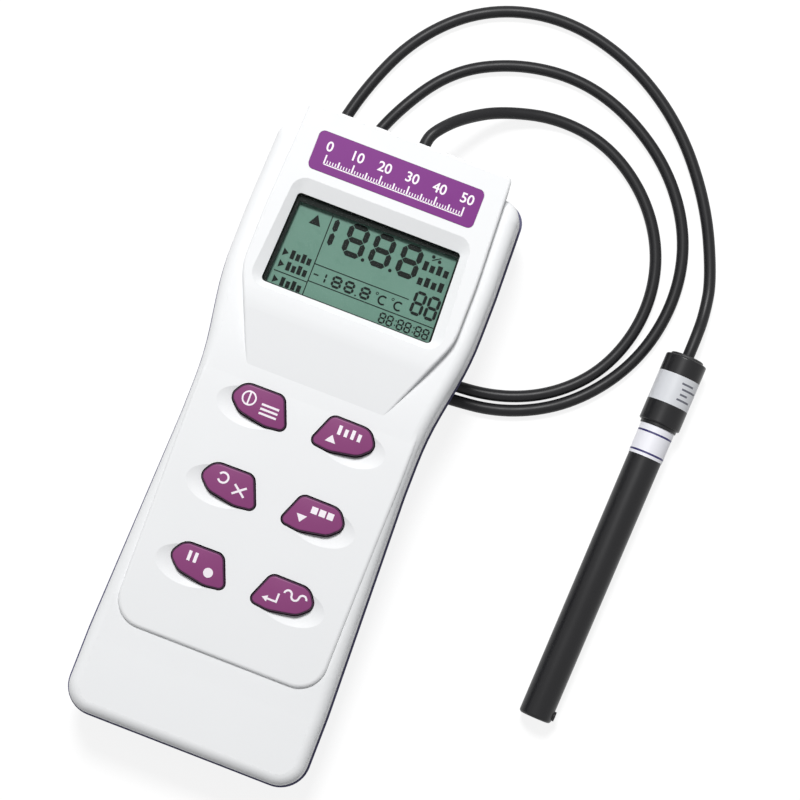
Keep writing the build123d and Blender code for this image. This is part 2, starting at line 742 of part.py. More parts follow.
def laid_probe(shape):
    turn = Rot(0, 0, PROBE_TURN) * Rot(PROBE_TILT, 0, 0)
    return Pos(PROBE_X, PROBE_Y, PROBE_Z) * turn * shape


def ring(inner, outer, low_y, high_y):
    return turned([(inner, low_y), (outer, low_y), (outer, high_y), (inner, high_y)], [0] * 4)


def make_probe_cap():
    low = -CAP_L
    skirt = low - CAP_SKIRT_L
    groove_r = CAP_R - CAP_LABEL_T
    groove_high = -CAP_LABEL_START
    groove_low = groove_high - CAP_LABEL_L
    stem_r = GROMMET_R - 1.8
    points = [(stem_r, 0), (CAP_R, 0), (CAP_R, groove_high), (groove_r, groove_high),
              (groove_r, groove_low), (CAP_R, groove_low), (CAP_R, low), (CAP_SKIRT_R, low),
              (CAP_SKIRT_R, skirt), (SHAFT_R + 0.03, skirt), (SHAFT_R + 0.03, SHAFT_HIGH_Y),
              (stem_r, SHAFT_HIGH_Y)]
    return turned(points, [0, 0.5, 0, 0, 0, 0, 0.4, 0, 0.2, 0, 0, 0])


def make_probe_grommet():
    stem_r = GROMMET_R - 1.8
    points = [(0, -GROMMET_DEPTH), (stem_r - 0.03, -GROMMET_DEPTH), (stem_r - 0.03, 0),
              (GROMMET_R, 0), (GROMMET_R, GROMMET_PROUD), (0, GROMMET_PROUD)]
    return turned(points, [0, 0, 0, 0, 0.5, 0])


def make_probe_shaft():
    bore_r = CELL_BORE_R
    points = [(LEAD_BORE_R, SHAFT_HIGH_Y), (SHAFT_R, SHAFT_HIGH_Y), (SHAFT_R, BAND_HIGH_Y - BAND_L),
              (TIP_R, -PROBE_L), (bore_r, -PROBE_L), (bore_r, CELL_HIGH_Y),
              (LEAD_BORE_R, CELL_HIGH_Y)]
    shaft = turned(points, [0, 0.3, 0, TIP_ROUND, 0, 0, 0])
    vent_y = -PROBE_L + VENT_PLACE
    lip_r = VENT_R + 0.4
    across = Rot(0, 90, 0)
    lip = Pos(0, vent_y, 0) * across * Cylinder(lip_r, TIP_R + VENT_LIP,
                                                align=(Align.CENTER, Align.CENTER, Align.MIN))
    shaft += lip - y_rod(CELL_BORE_R + 0.2, -PROBE_L, CELL_HIGH_Y)
    vent = Cylinder(VENT_R, 2 * TIP_R, align=(Align.CENTER, Align.CENTER, Align.MIN))
    shaft -= Pos(0, vent_y, 0) * across * vent
    for place in RING_PLACES:
        low = -PROBE_L + place
        shaft -= ring(0, CELL_BORE_R + RING_T, low, low + RING_L)
    return shaft


def make_cell_rings():
    return [ring(CELL_BORE_R, CELL_BORE_R + RING_T, -PROBE_L + place, -PROBE_L + place + RING_L)
            for place in RING_PLACES]


def make_cell_plug():
    return ring(SENSOR_R, CELL_BORE_R, CELL_HIGH_Y - PLUG_T, CELL_HIGH_Y)


def make_temperature_sensor():
    low = CELL_HIGH_Y - PLUG_T - SENSOR_L / 2
    return turned([(0, low), (SENSOR_R, low), (SENSOR_R, low + SENSOR_L), (0, low + SENSOR_L)],
                  [0, 0.6, 0, 0])


def make_probe_leads():
    high = -GROMMET_DEPTH
    low = CELL_HIGH_Y + SENSOR_L / 2 + 0.1
    spread = SENSOR_R
    return [y_rod(LEAD_R, low, high, spread * math.cos(a), spread * math.sin(a))
            for a in (math.radians(45 + 90 * i) for i in range(4))]


# Cable on the table: out of the gland, round to the right, twice under the display end, and
# out again to the probe. Points are corners of the route, which the tube rounds.

TABLE_Z = CABLE_R + 0.05
CABLE_ROUTE = [
    (3.0, 91.2, 17.0), (3.0, 93.8, 17.0), (5.1, 97.5, 16.3), (9.8, 103.2, 12.8), (19.0, 110.4, 5.4),
    (35.0, 115.2, TABLE_Z), (51.5, 112.8, TABLE_Z), (66.5, 102.5, TABLE_Z), (76.0, 87.5, TABLE_Z),
    (78.2, 70.0, TABLE_Z), (73.0, 53.0, TABLE_Z), (62.0, 41.0, TABLE_Z), (47.5, 34.2, TABLE_Z),
    (31.0, 32.6, TABLE_Z), (14.5, 34.0, TABLE_Z), (-0.5, 40.0, TABLE_Z), (-11.5, 52.0, TABLE_Z),
    (-16.0, 67.0, TABLE_Z), (-14.8, 82.5, TABLE_Z), (-9.5, 99.5, TABLE_Z), (1.5, 116.8, TABLE_Z),
    (18.0, 125.6, TABLE_Z), (36.5, 128.0, TABLE_Z), (54.0, 123.0, TABLE_Z), (70.5, 111.5, TABLE_Z),
    (81.5, 95.0, TABLE_Z), (84.6, 76.0, TABLE_Z), (80.0, 56.5, TABLE_Z), (67.5, 40.0, TABLE_Z),
    (50.5, 30.6, TABLE_Z), (32.0, 28.6, TABLE_Z), (14.0, 28.4, TABLE_Z), (-4.0, 34.0, TABLE_Z),
    (-17.5, 46.0, TABLE_Z), (-24.0, 62.0, TABLE_Z), (-24.0, 80.0, TABLE_Z), (-20.5, 101.0, TABLE_Z),
    (-11.5, 122.5, TABLE_Z), (4.5, 137.5, TABLE_Z), (26.0, 143.0, TABLE_Z), (48.5, 138.0, TABLE_Z),
    (68.0, 125.5, TABLE_Z), (83.0, 107.0, TABLE_Z), (91.9, 87.5, TABLE_Z), (93.5, 77.0, 3.3),
]
CABLE_END_RUN = 5.5


def route_radii(route):
    """Radius at each corner, as large as its two runs allow."""
    points = [Vector(*p) for p in route]
    runs = [b - a for a, b in zip(points, points[1:])]
    radii = []
    for before, after in zip(runs, runs[1:]):
        turn = math.radians(before.get_angle(after))
        radii.append(0.45 * min(before.length, after.length) / math.tan(turn / 2))
    return radii


def make_probe_cable():
    ends = [laid_probe(Vertex(0, GROMMET_PROUD + run, 0)).center() for run in (CABLE_END_RUN, 0)]
    route = CABLE_ROUTE + [tuple(end) for end in ends]
    radii = route_radii(route)
    print("cable radii", [round(r, 1) for r in radii])
    path = FilletPolyline(*route, radius=radii)
    section = Plane(origin=path @ 0, z_dir=path % 0) * Circle(CABLE_R)
    cable = sweep(section, path=path)
    expected = path.length * math.pi * CABLE_R ** 2
    print("cable length", round(path.length, 1), "volume ratio", round(cable.volume / expected, 4))
    return cable


def save_group(name, solids):
    save(name, Compound(children=[one(s) for s in solids]))


save("front_case", make_front_case())
save("rear_case", make_rear_case())
save("battery_door", make_battery_door())
save("face_label", rounded_slab(LABEL_W, LABEL_H, PLATE_Z - LABEL_T + LABEL_PROUD,
                                PLATE_Z + LABEL_PROUD, LABEL_R, LABEL_Y))
save("display_window", rounded_slab(LENS_W, LENS_H, LENS_LOW_Z, LENS_LOW_Z + LENS_T, LENS_R, WINDOW_Y))
save("lcd_glass", slab(LCD_W, LCD_H, LCD_LOW_Z, LCD_HIGH_Z, 0, WINDOW_Y))
save("lcd_frame", make_lcd_frame())
save_group("lcd_zebra_strips", make_zebra_strips())
save("main_board", make_main_board())
save_group("board_chips", make_board_chips())
save_group("board_screws", make_board_screws())
save_group("case_screws", make_case_screws())
save("keypad_mat", make_keypad_mat())
for name, (side, row_y) in KEY_PLACES.items():
    save("key_" + name, make_key_cap(side, row_y))
    save("key_" + name + "_contact", make_key_pill(side, row_y))
for i in range(4):
    save("battery_cell_" + str(i + 1), make_cell(i))
save_group("battery_springs", make_battery_springs())
save_group("battery_plates", make_battery_plates())
save("cable_gland", make_cable_gland())
save("cable_header", make_cable_header())
save("inner_lead", make_inner_lead())
save("output_jack", make_output_jack())
save("probe_cap", laid_probe(make_probe_cap()))
save("probe_cap_label", laid_probe(ring(CAP_R - CAP_LABEL_T, CAP_R, -CAP_LABEL_START - CAP_LABEL_L,
                                        -CAP_LABEL_START)))
save("probe_grommet", laid_probe(make_probe_grommet()))
save("probe_shaft", laid_probe(make_probe_shaft()))
save("probe_band", laid_probe(ring(SHAFT_R, SHAFT_R + BAND_T, BAND_HIGH_Y - BAND_L, BAND_HIGH_Y)))
save_group("cell_rings", [laid_probe(r) for r in make_cell_rings()])
save("cell_plug", laid_probe(make_cell_plug()))
save("temperature_sensor", laid_probe(make_temperature_sensor()))
save_group("probe_leads", [laid_probe(r) for r in make_probe_leads()])
save("probe_cable", make_probe_cable())
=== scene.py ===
import bpy
import json
import math
from mathutils import Matrix, Vector
from mathutils.bvhtree import BVHTree


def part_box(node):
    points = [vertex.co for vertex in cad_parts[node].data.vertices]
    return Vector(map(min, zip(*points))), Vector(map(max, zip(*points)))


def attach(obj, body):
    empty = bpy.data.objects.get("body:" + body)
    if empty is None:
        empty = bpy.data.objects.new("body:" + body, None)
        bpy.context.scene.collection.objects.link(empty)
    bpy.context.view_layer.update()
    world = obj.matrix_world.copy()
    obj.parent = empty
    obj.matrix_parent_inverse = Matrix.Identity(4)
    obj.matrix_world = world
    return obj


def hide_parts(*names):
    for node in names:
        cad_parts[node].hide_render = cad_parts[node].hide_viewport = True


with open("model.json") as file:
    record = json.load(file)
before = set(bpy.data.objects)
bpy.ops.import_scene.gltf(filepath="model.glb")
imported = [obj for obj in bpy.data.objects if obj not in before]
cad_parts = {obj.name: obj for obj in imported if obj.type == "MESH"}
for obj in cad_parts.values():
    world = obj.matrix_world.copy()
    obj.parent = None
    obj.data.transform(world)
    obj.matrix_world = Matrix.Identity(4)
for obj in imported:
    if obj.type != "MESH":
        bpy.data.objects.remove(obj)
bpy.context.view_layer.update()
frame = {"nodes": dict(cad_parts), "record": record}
NODES = frame["nodes"]
METER = "meter"
MM = 0.001


# Colours and materials

def srgb(red, green, blue):
    """Linear colour from 0 to 255 values."""
    def linear(value):
        value /= 255
        return value / 12.92 if value <= 0.04045 else ((value + 0.055) / 1.055) ** 2.4
    return (linear(red), linear(green), linear(blue), 1.0)


def shaded(color, factor):
    return tuple(min(1.0, channel * factor) for channel in color[:3]) + (1.0,)


def add_node(mat, kind, **values):
    """Node with values for its sockets, by name, and its own settings."""
    node = mat.node_tree.nodes.new(kind)
    for name, value in values.items():
        if name in node.inputs:
            node.inputs[name].default_value = value
        else:
            setattr(node, name, value)
    return node


def link(mat, source, output, target, socket):
    mat.node_tree.links.new(source.outputs[output], target.inputs[socket])


def object_noise(mat, scale, detail=2.0, stretch=(1, 1, 1)):
    """Noise fixed to the object, with its scale in features per metre."""
    place = add_node(mat, "ShaderNodeTexCoord")
    mapping = add_node(mat, "ShaderNodeMapping", Scale=stretch)
    noise = add_node(mat, "ShaderNodeTexNoise", Scale=scale, Detail=detail)
    link(mat, place, "Object", mapping, "Vector")
    link(mat, mapping, "Vector", noise, "Vector")
    return noise


DRIFT_SCALE = 45.0
SMUDGE_SCALE = 160.0
NOISE_LOW = 0.3
NOISE_HIGH = 0.7
LEAST_ROUGHNESS = 0.02
BUMP_STRENGTH = 0.35


def color_mix(mat, first, second, factor, output):
    """Mix of two colours by a factor; an input may be a colour or another node's socket."""
    mix = add_node(mat, "ShaderNodeMix", data_type="RGBA")
    for socket, value in zip([s for s in mix.inputs if s.type == "RGBA"], (first, second)):
        if isinstance(value, tuple):
            socket.default_value = value
        else:
            mat.node_tree.links.new(value, socket)
    link(mat, factor, output, mix, "Factor")
    return [s for s in mix.outputs if s.type == "RGBA"][0]


def surface(name, color, roughness, grain=1500.0, depth=0.006, drift=0.05, rough_drift=0.06,
            stretch=(1, 1, 1), **sockets):
    """Principled surface with a fine grain, and a slow drift in its colour and roughness."""
    mat = bpy.data.materials.new(name)
    mat.use_nodes = True
    shader = mat.node_tree.nodes["Principled BSDF"]
    for socket, value in sockets.items():
        shader.inputs[socket.replace("_", " ")].default_value = value

    slow = object_noise(mat, DRIFT_SCALE, 3.0)
    tint = color_mix(mat, shaded(color, 1 - drift), shaded(color, 1 + drift), slow, "Fac")
    mat.node_tree.links.new(tint, shader.inputs["Base Color"])

    smudge = object_noise(mat, SMUDGE_SCALE, 4.0, stretch)
    spread = add_node(mat, "ShaderNodeMapRange")
    spread.inputs["From Min"].default_value = NOISE_LOW
    spread.inputs["From Max"].default_value = NOISE_HIGH
    spread.inputs["To Min"].default_value = max(LEAST_ROUGHNESS, roughness - rough_drift)
    spread.inputs["To Max"].default_value = roughness + rough_drift
    link(mat, smudge, "Fac", spread, "Value")
    link(mat, spread, "Result", shader, "Roughness")

    fine = object_noise(mat, grain, 2.0, stretch)
    bump = add_node(mat, "ShaderNodeBump", Strength=BUMP_STRENGTH, Distance=depth * MM)
    link(mat, fine, "Fac", bump, "Height")
    link(mat, bump, "Normal", shader, "Normal")
    return mat


def dark_rim(mat, color, steep=0.80, level=0.95):
    """Paints shade into a material: darkens it where its surface turns away from the top of the object,
    standing in for the shadow in the gap round the keys.
    """
    shader = mat.node_tree.nodes["Principled BSDF"]
    plain = shader.inputs["Base Color"].links[0].from_socket
    place = add_node(mat, "ShaderNodeTexCoord")
    split = add_node(mat, "ShaderNodeSeparateXYZ")
    spread = add_node(mat, "ShaderNodeMapRange")
    spread.inputs["From Min"].default_value = steep
    spread.inputs["From Max"].default_value = level
    link(mat, place, "Normal", split, "Vector")
    link(mat, split, "Z", spread, "Value")
    tint = color_mix(mat, color, plain, spread, "Result")
    mat.node_tree.links.new(tint, shader.inputs["Base Color"])
    return mat


WHITE = srgb(240, 241, 242)
INDIGO = srgb(52, 50, 88)
LABEL_PURPLE = srgb(122, 40, 128)
KEY_PURPLE = srgb(134, 64, 116)
# Colour of the shade painted on the keys' steep sides, where the gap round each key lies in shadow.
KEY_RIM_SHADE = srgb(58, 26, 54)
PRINT_WHITE = srgb(246, 238, 245)
LCD_GREEN = srgb(104, 142, 127)
LCD_BLACK = srgb(8, 16, 13)
NAVY = srgb(32, 26, 92)
BLACK = srgb(24, 24, 26)

MATERIALS = {
    "white_shell": surface("white_plastic", WHITE, 0.50, grain=2600, depth=0.010, drift=0.012,
                           Specular_IOR_Level=0.2),
    "indigo_shell": surface("indigo_plastic", INDIGO, 0.45, grain=2400, depth=0.014, drift=0.06),
    "purple_film": surface("label_film", LABEL_PURPLE, 0.36, grain=3000, depth=0.003, drift=0.07,
                           Specular_IOR_Level=0.2),
    # Key rubber with painted shade on its steep sides, for the shadow in the gap round each key.
    "purple_rubber": dark_rim(surface("key_rubber", KEY_PURPLE, 0.46, grain=2200, depth=0.010,
                                      drift=0.06, Specular_IOR_Level=0.25), KEY_RIM_SHADE),
    "display_glass": surface("display_crystal", LCD_GREEN, 0.30, grain=4000, depth=0.002, drift=0.10,
                             Specular_IOR_Level=0.2),
    "dark_frame": surface("frame_plastic", srgb(30, 34, 34), 0.6),
    "strip_rubber": surface("strip_rubber", srgb(150, 110, 105), 0.7),
    "green_board": surface("board_mask", srgb(30, 98, 58), 0.35, grain=900, depth=0.02),
    "chip_black": surface("chip_moulding", srgb(34, 34, 36), 0.55),
    "screw_steel": surface("screw_steel", srgb(176, 176, 180), 0.32, Metallic=1.0),
    "mat_rubber": surface("mat_rubber", srgb(120, 116, 124), 0.7),
    "carbon_pill": surface("carbon_pill", srgb(26, 26, 26), 0.8),
    "contact_metal": surface("contact_nickel", srgb(196, 192, 180), 0.28, Metallic=1.0),
    "gland_rubber": surface("gland_rubber", srgb(28, 28, 30), 0.5),
    "cable_jacket": surface("cable_jacket", srgb(24, 24, 26), 0.42, grain=1800, depth=0.012,
                            drift=0.15, Specular_IOR_Level=0.25),
    "header_plastic": surface("header_plastic", srgb(222, 220, 208), 0.5),
    "jack_black": surface("jack_plastic", srgb(30, 30, 32), 0.45),
    "probe_black": surface("probe_plastic", BLACK, 0.34, grain=1600, depth=0.006, drift=0.12,
                           stretch=(1, 0.25, 1), Specular_IOR_Level=0.3),
    "silver_wrap": surface("silver_film", srgb(214, 216, 220), 0.34, grain=900, depth=0.006,
                           drift=0.03),
    "white_film": surface("band_film", srgb(240, 240, 246), 0.38, grain=1200, depth=0.006,
                          drift=0.02),
    "electrode_metal": surface("electrode_metal", srgb(190, 190, 192), 0.25, Metallic=1.0),
    "potting": surface("potting_resin", srgb(36, 36, 40), 0.4),
    "lead_plastic": surface("lead_jacket", srgb(150, 44, 36), 0.5),
    "clear_window": surface("window_acrylic", srgb(60, 72, 67), 0.06, grain=600, depth=0.001,
                            rough_drift=0.02, Alpha=0.015),
    "cell_wrap": surface("cell_wrap", srgb(48, 52, 64), 0.32, Metallic=0.2),
}
PRINT = surface("white_print", PRINT_WHITE, 0.45, grain=3000, depth=0.002, drift=0.02)
# Black for the display's segments, which are print, and for the sheet under the window, which is painted
# shadow.
LCD_INK_AND_SHADOW = surface("segment_and_shadow_black", LCD_BLACK, 0.45, grain=3000, depth=0.001, drift=0.1,
                  Specular_IOR_Level=0.1)
NAVY_INK = surface("navy_ink", NAVY, 0.40, grain=3000, depth=0.001, drift=0.08)
GREY_INK = surface("grey_ink", srgb(96, 98, 108), 0.45, grain=3000, depth=0.001, drift=0.1)


def dress_nodes():
    """Gives every CAD node the material of its slot."""
    slots = {row["node"]: row["material_slot"] for row in frame["record"]["subparts"]}
    for name, node in NODES.items():
        node.data.materials.clear()
        node.data.materials.append(MATERIALS[slots[name]])


# Mesh helpers, in millimetres unless they say otherwise. Print reaches a little way into what carries it.

PRINT_ROOT = 0.02
INK_T = 0.03


def add_piece(name, verts, faces, material, body=METER):
    """Mesh piece, from points in metres, that rides on a body and carries one material."""
    mesh = bpy.data.meshes.new(name)
    mesh.from_pydata([tuple(v) for v in verts], [], faces)
    mesh.validate()
    mesh.update()
    piece = bpy.data.objects.new(name, mesh)
    bpy.context.scene.collection.objects.link(piece)
    mesh.materials.append(material)
    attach(piece, body)


class Outline:
    """Convex polygons, drawn in the plan, that become one piece of thin print."""

    def __init__(self):
        self.polygons = []

    def polygon(self, points):
        area = sum(a[0] * b[1] - b[0] * a[1] for a, b in zip(points, points[1:] + points[:1]))
        self.polygons.append(points if area > 0 else points[::-1])

    def bar(self, start, end, width):
        """Straight stroke with square ends."""
        ax, ay = start
        bx, by = end
        length = math.hypot(bx - ax, by - ay)
        nx, ny = -(by - ay) / length * width / 2, (bx - ax) / length * width / 2
        self.polygon([(ax + nx, ay + ny), (bx + nx, by + ny), (bx - nx, by - ny), (ax - nx, ay - ny)])

    def disc(self, center, radius, count=20):
        step = 2 * math.pi / count
        self.polygon([(center[0] + radius * math.cos(i * step), center[1] + radius * math.sin(i * step))
                      for i in range(count)])

    def circle(self, center, radius, width, start=0.0, sweep=360.0, count=28):
        """Ring or arc made of short quads."""
        inner, outer = radius - width / 2, radius + width / 2
        for i in range(count):
            a, b = (math.radians(start + sweep * k / count) for k in (i, i + 1))
            self.polygon([(center[0] + r * math.cos(t), center[1] + r * math.sin(t))
                          for r, t in ((inner, a), (outer, a), (outer, b), (inner, b))])

    def build(self, name, height_at, thickness, material, body=METER):
        """Prisms that stand thickness high on the surface height_at(x, y)."""
        verts, faces = [], []
        for points in self.polygons:
            base, n = len(verts), len(points)
            for lift in (-PRINT_ROOT, thickness):
                verts += [(x * MM, y * MM, (height_at(x, y) + lift) * MM) for x, y in points]
            faces.append([base + n + i for i in range(n)])
            faces.append([base + i for i in reversed(range(n))])
            faces += [[base + i, base + (i + 1) % n, base + n + (i + 1) % n, base + n + i]
                      for i in range(n)]
        add_piece(name, verts, faces, material, body)


def printed_number(name, number, size, place, material, bold=0.0):
    """Plain number as flat print, centred on place."""
    curve = bpy.data.curves.new(name + "_text", "FONT")
    curve.body = str(number)
    curve.size = size * MM
    curve.align_x = "CENTER"
    curve.align_y = "CENTER"
    curve.extrude = INK_T * MM
    curve.offset = bold * MM
    text = bpy.data.objects.new(name + "_text", curve)
    bpy.context.scene.collection.objects.link(text)
    bpy.context.view_layer.update()
    mesh = bpy.data.meshes.new_from_object(text)
    mesh.name = name
    mesh.transform(Matrix.Translation([value * MM for value in place]))
    bpy.data.objects.remove(text)
    mesh.materials.clear()
    mesh.materials.append(material)
    piece = bpy.data.objects.new(name, mesh)
    bpy.context.scene.collection.objects.link(piece)
    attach(piece, METER)


# Label above the display: a plain graduated scale in place of words

SCALE_MARGIN = 4.0
SCALE_BASE = 2.3
SCALE_LINE_W = 0.35
SCALE_STEPS = 50
STEPS_PER_NUMBER = 10
STEPS_PER_MARK = 5
NUMBER_TICK = 2.6
MARK_TICK = 1.9
SMALL_TICK = 1.2
BOLD_TICK_W = 0.42
THIN_TICK_W = 0.26
NUMBER_SIZE = 3.9
NUMBER_LIFT = 4.9
NUMBER_BOLD = 0.06


def tick_size(step):
    """Height and width of one mark of the scale."""
    if step % STEPS_PER_NUMBER == 0:
        return NUMBER_TICK, BOLD_TICK_W
    if step % STEPS_PER_MARK == 0:
        return MARK_TICK, BOLD_TICK_W
    return SMALL_TICK, THIN_TICK_W


def dress_label():
    low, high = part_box("face_label")
    left, right = low[0] / MM + SCALE_MARGIN, high[0] / MM - SCALE_MARGIN
    base = low[1] / MM + SCALE_BASE
    top_z = high[2] / MM
    scale = Outline()
    scale.bar((left, base), (right, base), SCALE_LINE_W)
    for step in range(SCALE_STEPS + 1):
        x = left + (right - left) * step / SCALE_STEPS
        tall, wide = tick_size(step)
        scale.bar((x, base), (x, base + tall), wide)
    scale.build("label_scale", lambda x, y: top_z, INK_T, PRINT)
    for i, step in enumerate(range(0, SCALE_STEPS + 1, STEPS_PER_NUMBER)):
        x = left + (right - left) * step / SCALE_STEPS
        place = (x, base + NUMBER_LIFT, top_z + PRINT_ROOT)
        printed_number("label_number_%d" % i, step, NUMBER_SIZE, place, PRINT, NUMBER_BOLD)


# Display: all segments of a plain number readout

def digit(outline, x, y, width, height, stroke, segments="abcdefg", gap=0.12):
    """Seven-segment digit with its lower left corner at x, y."""
    left, right = x + stroke / 2, x + width - stroke / 2
    low, mid, high = y + stroke / 2, y + height / 2, y + height - stroke / 2
    ends = {"a": ((left, high), (right, high)), "b": ((right, mid), (right, high)),
            "c": ((right, low), (right, mid)), "d": ((left, low), (right, low)),
            "e": ((left, low), (left, mid)), "f": ((left, mid), (left, high)),
            "g": ((left, mid), (right, mid))}
    half = stroke / 2
    for letter in segments:
        (ax, ay), (bx, by) = ends[letter]
        if ay == by:
            ax, bx = ax + gap, bx - gap
            outline.polygon([(ax, ay), (ax + half, ay - half), (bx - half, by - half), (bx, by),
                             (bx - half, by + half), (ax + half, ay + half)])
        else:
            ay, by = ay + gap, by - gap
            outline.polygon([(ax, ay), (ax + half, ay + half), (bx + half, by - half), (bx, by),
                             (bx - half, by - half), (ax - half, ay + half)])


WORD_MARKS = 4
SHORT_BY = 0.6


def word_marks(outline, x, y, pitch, half_height, width, first_short=0):
    """Row of upright marks, every other one of them shorter, that stands in for a word."""
    for i in range(WORD_MARKS):
        top = y + half_height - SHORT_BY * ((i + first_short) % 2)
        outline.bar((x + pitch * i, y - half_height), (x + pitch * i, top), width)


DISPLAY_LEFT = -22.6
DISPLAY_RIGHT = 24.0
DISPLAY_LOW = 38.6
DIVIDER_X = -12.8
DIVIDER_TOP = 62.4
HIGH_LINE_Y = 48.3
HIGH_LINE_END = 14.8
LOW_LINE_Y = 43.3
LEFT_LINE_Y = 42.8
RULE_W = 0.28


def display_rules(ink):
    """Thin lines that part the fields of the display."""
    for start, end in (((DIVIDER_X, DISPLAY_LOW), (DIVIDER_X, DIVIDER_TOP)),
                       ((DIVIDER_X, HIGH_LINE_Y), (HIGH_LINE_END, HIGH_LINE_Y)),
                       ((DIVIDER_X, LOW_LINE_Y), (DISPLAY_RIGHT, LOW_LINE_Y)),
                       ((DISPLAY_LEFT, LEFT_LINE_Y), (DIVIDER_X, LEFT_LINE_Y))):
        ink.bar(start, end, RULE_W)


def main_readout(ink):
    """Large figures, a leading one and three full ones."""
    base, height, stroke = 53.4, 9.4, 1.5
    digit(ink, -11.8, base, 1.5, height, 1.45, "bc")
    for x in (-7.5, 0.2, 8.2):
        digit(ink, x, base, 6.1, height, stroke)
    for x in (-0.9, 7.1):
        ink.disc((x, base + 0.5), 0.5)


def temperature_readout(ink):
    """Small figures with a sign, and two degree marks."""
    base, gap = 43.9, 0.06
    ink.bar((-12.0, 45.6), (-10.6, 45.6), 0.4)
    digit(ink, -9.0, base, 0.7, 3.2, 0.5, "bc", gap)
    for x in (-6.7, -3.0, 1.6):
        digit(ink, x, base, 2.9, 3.4, 0.68, gap=gap)
    ink.disc((0.7, 44.1), 0.25)
    for x in (6.2, 10.8):
        ink.circle((x, 46.8), 0.32, 0.2, count=14)
        ink.circle((x + 2.0, 45.5), 1.15, 0.5, start=50, sweep=260, count=14)


def side_readouts(ink):
    """Two middle-sized figures at the right, and three pairs of the smallest below."""
    for x in (15.9, 19.9):
        digit(ink, x, 44.8, 3.5, 6.8, 0.85, gap=0.08)
    pair_pitch, figure_pitch = 5.2, 2.2
    for i in range(3):
        for j in range(2):
            digit(ink, 8.9 + pair_pitch * i + figure_pitch * j, 39.4, 1.9, 3.1, 0.46, gap=0.05)
        if i:
            for y in (40.3, 41.6):
                ink.disc((8.5 + pair_pitch * i, y), 0.2)


def display_marks(ink):
    """Plain marks and arrows in the places of words."""
    for row, y in enumerate((58.6, 54.4)):
        word_marks(ink, 15.8, y, 2.0, 1.3, 1.35, row)
    ink.disc((17.0, 61.7), 0.5)
    ink.disc((19.0, 60.9), 0.5)
    ink.bar((16.9, 60.6), (19.1, 62.0), 0.3)
    for y in (48.4, 45.0, 40.5):
        ink.polygon([(-22.0, y + 1.1), (-22.0, y - 1.1), (-20.4, y)])
        word_marks(ink, -19.2, y, 1.6, 1.25, 1.15)
    ink.polygon([(-18.4, 58.2), (-15.0, 58.2), (-16.7, 61.2)])


SEGMENT_T = 0.04


def dress_display():
    top_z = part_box("lcd_glass")[1][2] / MM
    ink = Outline()
    display_rules(ink)
    main_readout(ink)
    temperature_readout(ink)
    side_readouts(ink)
    display_marks(ink)
    ink.build("display_segments", lambda x, y: top_z, SEGMENT_T, LCD_INK_AND_SHADOW)


# Black sheet under the window that paints the recess's shadow on the display, in millimetres.
SHADOW_SHEET_HALF = 24.9
SHADOW_SHEET_LOW = 37.6
SHADOW_SHEET_HIGH = 65.8
SHADOW_SHEET_T = 0.05
SHADOW_SHEET_DROP = 0.08


def dress_window():
    """Black sheet under the window, deepest along its top: painted shadow, standing in for the shade the
    recess casts on the display.
    """
    low_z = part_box("display_window")[0][2] / MM - SHADOW_SHEET_DROP
    half, low, high = SHADOW_SHEET_HALF, SHADOW_SHEET_LOW, SHADOW_SHEET_HIGH
    low_line, left_top, right_top = 39.0, 62.6, 63.5
    mask = Outline()
    mask.polygon([(-half, low), (half, low), (half, low_line), (-half, low_line)])
    mask.polygon([(-half, left_top), (half, right_top), (half, high), (-half, high)])
    mask.polygon([(-half, low_line), (-23.5, low_line), (-22.6, left_top), (-half, left_top)])
    mask.polygon([(24.1, low_line), (half, low_line), (half, right_top), (23.2, right_top)])
    mask.build("window_shadow_sheet", lambda x, y: low_z, SHADOW_SHEET_T, LCD_INK_AND_SHADOW)


# Keys: plain signs that follow the domed tops, each drawn about the middle of its key. The print is
# thick enough for its long straight edges to stay above the dome.

KEY_PRINT_T = 0.12
ABOVE_KEYS = 100.0


def key_surface(name):
    """Function that gives the height of a key's top, read from the key's own mesh."""
    tree = BVHTree.FromObject(NODES[name], bpy.context.evaluated_depsgraph_get())

    def height(x, y):
        hit = tree.ray_cast(Vector((x, y, ABOVE_KEYS)) * MM, Vector((0, 0, -1)))[0]
        return hit.z / MM
    return height


def power_sign(art, x, y):
    art.circle((x - 3.6, y + 0.9), 1.85, 0.46)
    art.bar((x - 3.6, y - 0.75), (x - 3.6, y + 2.55), 0.46)
    for i in range(3):
        art.bar((x + 0.2, y + 0.6 - 1.25 * i), (x + 5.2, y + 0.6 - 1.25 * i), 0.6)


def up_sign(art, x, y):
    art.polygon([(x - 4.8, y - 2.4), (x - 1.8, y - 2.4), (x - 3.3, y - 0.3)])
    for i in range(4):
        art.bar((x - 1.9 + 1.9 * i, y + 0.3), (x - 1.9 + 1.9 * i, y + 2.9 - 0.5 * (i % 2)), 0.95)


def escape_sign(art, x, y):
    art.circle((x - 2.4, y + 1.3), 1.4, 0.55, start=-150, sweep=300)
    art.bar((x + 1.2, y - 1.9), (x + 4.6, y + 0.8), 0.6)
    art.bar((x + 1.2, y + 0.8), (x + 4.6, y - 1.9), 0.6)


def down_sign(art, x, y):
    art.polygon([(x - 4.8, y - 0.4), (x - 1.8, y - 0.4), (x - 3.3, y - 2.5)])
    for i in range(3):
        art.bar((x - 1.4 + 2.3 * i, y + 1.8), (x + 0.4 + 2.3 * i, y + 1.8), 1.9)


def hold_sign(art, x, y):
    for dx in (-3.4, -1.6):
        art.bar((x + dx, y), (x + dx, y + 2.8), 0.9)
    art.disc((x + 3.0, y - 1.2), 1.35)


